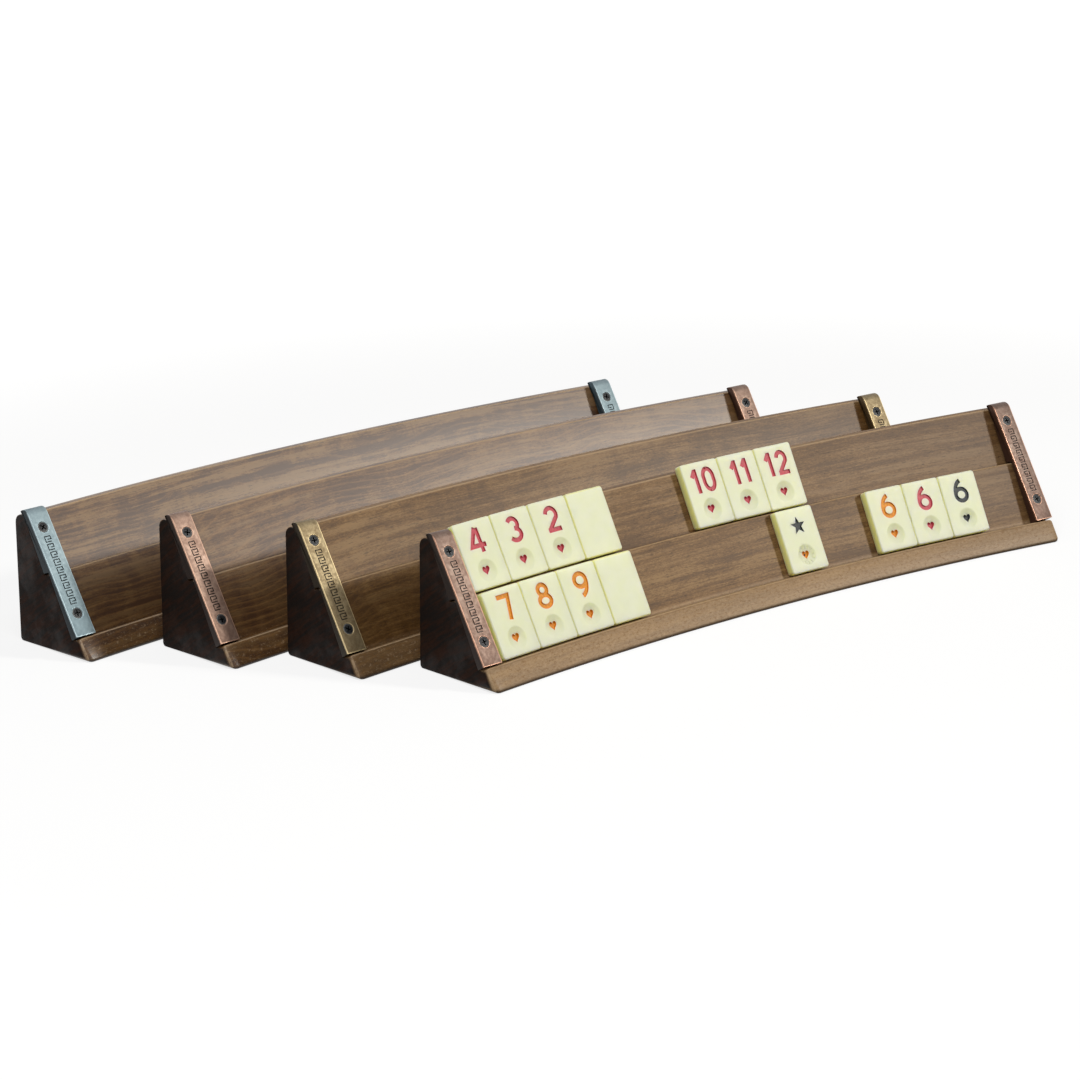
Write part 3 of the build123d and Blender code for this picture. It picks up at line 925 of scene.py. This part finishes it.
def numberOutlines(text):
    # the outlines of a number, centred on the tile
    width, space = tilePlan["stroke"], tilePlan["space"]
    if len(text) > 1:
        sizes = [tilePlan["one" if letter == "1" else "double"] for letter in text]
    else:
        sizes = [tilePlan["four" if text == "4" else "single"]]
    low, high = tilePlan["figureBottom"] + width / 2, tilePlan["figureTop"] - width / 2
    outlines, left = [], -(sum(sizes) + space * (len(text) - 1)) / 2
    for letter, size in zip(text, sizes):
        for stroke in figures[letter]:
            points = [Vector((left + width / 2 + x * (size - width), low + y * (high - low)))
                      for x, y in stroke]
            points = [p for k, p in enumerate(points) if k == 0 or (p - points[k - 1]).length > 0.02]
            outlines.append(strokeOutline(points, width))
        left += size + space
    return outlines


def heartOutline():
    points = []
    for k in range(32):
        t = 2 * pi * (k + 0.5) / 32
        x = sin(t) ** 3 / 2
        y = (13 * cos(t) - 5 * cos(2 * t) - 2 * cos(3 * t) - cos(4 * t)) / 29 + 0.09
        points.append(dimple + Vector((x * tilePlan["heartWidth"], y * tilePlan["heartHeight"])))
    return points


def starOutline():
    radii = (tilePlan["starRadius"], tilePlan["starWaist"]) * 5
    return [Vector((radius * sin(pi * k / 5), tilePlan["starHeight"] + radius * cos(pi * k / 5)))
            for k, radius in enumerate(radii)]


def rayOutline(turn):
    # a faint ray pressed into the joker's dimple
    along = Vector((cos(turn), sin(turn)))
    aside = Vector((-along.y, along.x))
    near, far = (tilePlan["rayFrom"], tilePlan["rayNarrow"]), (tilePlan["rayTo"], tilePlan["rayWide"])
    return [dimple + along * reach + aside * half * way
            for (reach, half), way in ((near, -1), (far, -1), (far, 1), (near, 1))]


def dimpleDepth(x, y):
    # a ball's cap with a softened rim
    reach, depth, soft = tilePlan["dimpleDiameter"] / 2, tilePlan["dimpleDepth"], tilePlan["dimpleRim"]
    ball = (reach ** 2 + depth ** 2) / (2 * depth)
    distance = hypot(x, y - tilePlan["dimpleAboveFoot"])
    if distance > reach + 0.6:
        return 0.0
    cap = (ball ** 2 - distance ** 2) ** 0.5 - (ball - depth)
    return soft * log(1 + exp(min(cap / soft, 40)))


def tileRing(out):
    # the tile's outline, drawn in by the edge's radius less "out"
    half, foot, height = tilePlan["width"] / 2, tilePlan["cornerRadius"], tilePlan["height"]
    side, reach = half - foot, foot - tilePlan["edgeRadius"] + out
    head = height - foot
    spots = (((-side, foot), 180), ((side, foot), 270), ((side, head), 0), ((-side, head), 90))
    return [Vector(spot) + step(turn + 18 * k, 1) * reach for spot, turn in spots for k in range(6)]


def faceShapes(outlines, joker):
    # what the face is divided by, as (outline, depth, finish); finish 0 is the tile's own, 2 is yellow
    shapes = [(tileRing(0), 0.0, 0)]
    shapes += [(circle(40, reach, dimple), 0.0, 0) for reach in tilePlan["dimpleRings"]]
    shapes += [(outline, tilePlan["figureDepth"], 1) for outline in outlines]
    if joker:
        count = tilePlan["rays"]
        shapes += [(rayOutline(2 * pi * k / count), tilePlan["rayDepth"], 0) for k in range(count)]
    shapes.append((heartOutline(), tilePlan["heartDepth"], 2 if joker else 1))
    if joker:
        seed = circle(12, tilePlan["seedRadius"], dimple + Vector((0, tilePlan["seedAbove"])))
        shapes.append((seed, tilePlan["seedDepth"], 1))
    return shapes


def addFace(shape, shapes):
    # the face is triangulated round its recesses, which get walls
    points, areas, made, beside = [], [], {}, {}
    for outline, *_ in shapes:
        # the planner wants every outline counterclockwise
        area = sum(a.x * b.y - b.x * a.y for a, b in zip(outline, outline[1:] + outline[:1]))
        areas.append(list(range(len(points), len(points) + len(outline))))
        points += outline if area > 0 else outline[::-1]
    found = delaunay_2d_cdt(points, [], areas, 1, 1e-5, True)

    def corner(index, depth):
        key = (index, round(depth, 4))
        if key not in made:
            x, y = found[0][index]
            made[key] = shape.verts.new((x, y, tilePlan["thickness"] - dimpleDepth(x, y) - depth))
        return made[key]

    for face, inside in zip(found[2], found[5]):
        depth, finish = max((shapes[k][1:] for k in inside), default=(0.0, 0))
        shape.faces.new([corner(k, depth) for k in face]).material_index = finish
        for first, second in zip(face, face[1:] + face[:1]):
            beside.setdefault((min(first, second), max(first, second)), []).append((depth, finish))
    for (first, second), sides in beside.items():
        (high, _), (low, finish) = min(sides), max(sides)
        if low - high > 1e-6:
            wall = [corner(first, high), corner(second, high), corner(second, low), corner(first, low)]
            shape.faces.new(wall).material_index = finish


def tileMesh(name, outlines, finishes, joker):
    # a face with recesses on a block with rounded edges
    thick, radius = tilePlan["thickness"], tilePlan["edgeRadius"]
    shape = bmesh.new()
    addFace(shape, faceShapes(outlines, joker))
    rings = []
    for turn, front in [(18 * k, True) for k in range(6)] + [(90 - 18 * k, False) for k in range(6)]:
        drop = radius * (1 - cos(radians(turn)))
        level = thick - drop if front else drop
        rings.append([shape.verts.new((p.x, p.y, level)) for p in tileRing(radius * sin(radians(turn)))])
    for first, second in zip(rings, rings[1:]):
        for k in range(len(first)):
            m = (k + 1) % len(first)
            shape.faces.new((first[k], first[m], second[m], second[k]))
    shape.faces.new(rings[-1])
    bmesh.ops.remove_doubles(shape, verts=shape.verts, dist=0.004)
    bmesh.ops.dissolve_degenerate(shape, edges=shape.edges, dist=0.0005)
    bmesh.ops.recalc_face_normals(shape, faces=shape.faces)
    mesh = toMesh(shape, name)
    for finish in finishes:
        mesh.materials.append(finish)
    source = addObject("tileSource", finishMesh(mesh, 30))
    source.modifiers.new("flatFaces", "WEIGHTED_NORMAL").keep_sharp = True
    return bake(source, name)


def ivoryMaterial():
    material, tree, shader, place = newMaterial(
        "ivory tile", Subsurface_Weight=tilePlan["glow"], Subsurface_Radius=tilePlan["glowReach"],
        Subsurface_Scale=tilePlan["glowDepth"])
    x, y, z = split(tree, place)
    width, height, rough = (tilePlan[key] for key in ("width", "height", "roughness"))
    cloud = ramp(tree, noise(tree, place, 0.09, 3.0, 0.5), 0.3, 0.7)
    colour = stain(tree, rgb(tilePlan["face"]), cloud, tilePlan["shade"])
    # the flanks are painted yellower than the face, a painted glow standing in for light through the ivory
    flankGlow = ramp(tree, z, tilePlan["thickness"] - 0.08, tilePlan["thickness"] - 0.8)
    upward = times(tree, minus(tree, y, height / 2), width / height)
    aside = maths(tree, "MAXIMUM", sizeOf(tree, x), sizeOf(tree, upward))
    outer = ramp(tree, aside, width / 2 - 0.9, width / 2 - 0.2)
    colour = stain(tree, colour, times(tree, flankGlow, outer), tilePlan["edge"])
    scuffs = ramp(tree, noise(tree, place, 0.8, 4.0, 0.6), 0.35, 0.7, rough - 0.05, rough + 0.12)
    endMaterial(tree, shader, noise(tree, place, 1.6, 4.0), 0.08, 0.0001, Base_Color=colour, Roughness=scuffs)
    return material


def paintMaterial(name):
    tone, rough = tilePaints[name]["colour"], tilePaints[name]["roughness"]
    material, tree, shader, place = newMaterial(f"{name} tile paint", Specular_IOR_Level=0.3)
    colour = stain(tree, rgb(tone), ramp(tree, noise(tree, place, 0.9, 4.0, 0.6), 0.3, 0.75), tone, 0.86)
    rough = ramp(tree, noise(tree, place, 2.0), 0.3, 0.7, rough - 0.08, rough + 0.1)
    relief = noise(tree, place, 3.0, 4.0, 0.6)
    endMaterial(tree, shader, relief, 0.2, 0.0001, Base_Color=colour, Roughness=rough)
    return material


def tileSeat(row, share, slot):
    # the place of a tile, from its own (across, up, out) to the table
    up, out = step(faceSlope, 1), step(faceSlope + 90, 1)
    corner = {"lower": lowerFoot, "upper": upperFoot}[row] + (out + up) * tilePlan["seatClearance"]
    middle = corner + up * (tilePlan["height"] / 2) + out * (tilePlan["thickness"] / 2)
    barSide = endFrame @ Vector((-barPlan["width"], middle.x - baseDepth / 2, 0))
    rowEnd = atan2(barSide.x, barSide.y + centreRadius)
    distance = tilePlan["endGap"] + (slot + 0.5) * (tilePlan["width"] + tilePlan["sideGap"])
    angle = (2 * share - 1) * rowEnd + distance / (rackPlan["arcRadius"] + middle.x)
    upright = Matrix.Rotation(radians(faceSlope - 90), 4, "X")
    axis = Matrix.Translation((0, -centreRadius, 0))
    seat = Matrix.Translation((0, corner.x - baseDepth / 2, corner.y)) @ upright
    return axis @ Matrix.Rotation(-angle, 4, "Z") @ axis.inverted() @ seat


faceToFront = Matrix(((1, 0, 0, 0), (0, 0, -1, 0), (0, 1, 0, 0), (0, 0, 0, 1)))
faceToWood = Matrix.Translation((0, -tilePlan["thickness"], 0)) @ Matrix.Rotation(pi, 4, "Z") @ faceToFront
ivoryTile = ivoryMaterial()
paints = {name: paintMaterial(name) for name in tilePaints}
for group in tilePlan["rows"]:
    for slot, tile in enumerate(group["tiles"]):
        joker, turnedRound = tile == "joker", tile in tilePlan["turned"]
        colour, _, number = tilePlan["turned"].get(tile, tile).partition("_")
        outlines = [starOutline()] if joker else numberOutlines(number)
        finishes = (ivoryTile, paints["black" if joker else colour], paints["yellow"])
        mesh = tileMesh(f"tile_{tile}_face", outlines, finishes, joker)
        seat = tileSeat(group["row"], group["share"], slot) @ (faceToWood if turnedRound else faceToFront)
        piece = placeMesh(mesh, f"tile_{tile}_shown", seat)
        bpy.data.meshes.remove(mesh)
        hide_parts(f"tile_{tile}")
        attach(piece, f"{tile}_tile")
print("tiles ready")

studio = {
    # the camera, with its place in mm
    "lens": 99.04, "azimuth": -37.307, "elevation": 16.134, "roll": -1.377,
    "distance": 1569.06, "aside": -107.28, "above": 31.4,
    # two round lamps, in metres and watts, aimed at one point
    "target": (-0.05, 0.08, 0.03),
    "lamps": {
        "key": {"azimuth": 40.0, "elevation": 29.0, "distance": 4.0, "size": 0.5, "power": 67.5,
                "colour": (1.0, 0.97, 0.90)},
        "fill": {"azimuth": -50.0, "elevation": 60.0, "distance": 3.0, "size": 2.2, "power": 50.0,
                 "colour": (1.0, 1.0, 1.0)},
    },
    "ambient": 0.18,
    # the floor in metres; its own glow makes up for the lamps, and is full white away from the racks
    "floorSize": 14.0, "floorTone": 0.3, "floorGlow": 0.74, "glowFrom": 0.45, "glowTo": 1.3,
}


def aim(azimuth, elevation):
    # a direction towards the viewer: azimuth 0 is the racks' front
    az, el = radians(azimuth), radians(elevation)
    return Vector((sin(az) * cos(el), -cos(az) * cos(el), sin(el)))


def addCamera():
    back = aim(studio["azimuth"], studio["elevation"])
    right = Vector((cos(radians(studio["azimuth"])), sin(radians(studio["azimuth"])), 0))
    up = back.cross(right)
    spot = back * studio["distance"] + right * studio["aside"] + up * studio["above"]
    roll = radians(studio["roll"])
    sideways = right * cos(roll) + up * sin(roll)
    upwards = up * cos(roll) - right * sin(roll)
    data = bpy.data.cameras.new("camera")
    data.lens, data.sensor_width, data.clip_end = studio["lens"], 36.0, 50.0
    camera = addObject("camera", data)
    turn = Matrix((sideways, upwards, back)).transposed().to_4x4()
    camera.matrix_world = Matrix.Translation(spot * mm) @ turn
    scene.camera = camera


def addLamps():
    for name, facts in studio["lamps"].items():
        data = bpy.data.lights.new(name, "AREA")
        data.shape, data.size = "DISK", facts["size"]
        data.energy, data.color = facts["power"], facts["colour"]
        out = aim(facts["azimuth"], facts["elevation"])
        spot = Matrix.Translation(Vector(studio["target"]) + out * facts["distance"])
        addObject(name, data).matrix_world = spot @ out.to_track_quat("Z", "Y").to_matrix().to_4x4()


def showWhite(tree, own, white, end):
    # the camera's own rays, and mirror and glass rays, see the white one
    rays = addNode(tree, "ShaderNodeLightPath").outputs
    shown = maths(tree, "ADD", rays["Is Camera Ray"], rays["Is Glossy Ray"], clamp=True)
    shown = maths(tree, "ADD", shown, rays["Is Transmission Ray"], clamp=True)
    mix = addNode(tree, "ShaderNodeMixShader", i0=shown, i1=own, i2=white)
    addNode(tree, end, i0=mix.outputs[0])


def addSurroundings():
    white = (1, 1, 1, 1)
    world = bpy.data.worlds.new("studio")
    scene.world = world
    world.use_nodes = True
    tree = world.node_tree
    tree.nodes.clear()
    soft, bright = (addNode(tree, "ShaderNodeBackground", Color=white, Strength=strength).outputs[0]
                    for strength in (studio["ambient"], 1.0))
    showWhite(tree, soft, bright, "ShaderNodeOutputWorld")
    half = studio["floorSize"] / 2
    mesh = bpy.data.meshes.new("floor")
    corners = [(-half, -half, 0), (half, -half, 0), (half, half, 0), (-half, half, 0)]
    mesh.from_pydata(corners, [], [(0, 1, 2, 3)])
    floor = addObject("floor", mesh)
    material = bpy.data.materials.new("pale floor")
    material.use_nodes = True
    tree = material.node_tree
    tree.nodes.clear()
    plain = addNode(tree, "ShaderNodeBsdfDiffuse", Color=(studio["floorTone"],) * 3 + (1,)).outputs[0]
    place = addNode(tree, "ShaderNodeTexCoord").outputs["Object"]
    away = ramp(tree, lengthOf(tree, place), studio["glowFrom"], studio["glowTo"], studio["floorGlow"], 1.0)
    glow = addNode(tree, "ShaderNodeEmission", Color=white, Strength=away).outputs[0]
    both = addNode(tree, "ShaderNodeAddShader", i0=plain, i1=glow).outputs[0]
    showWhite(tree, plain, both, "ShaderNodeOutputMaterial")
    mesh.materials.append(material)


addCamera()
addLamps()
addSurroundings()
scene.view_settings.view_transform = "Standard"
print("scene ready")
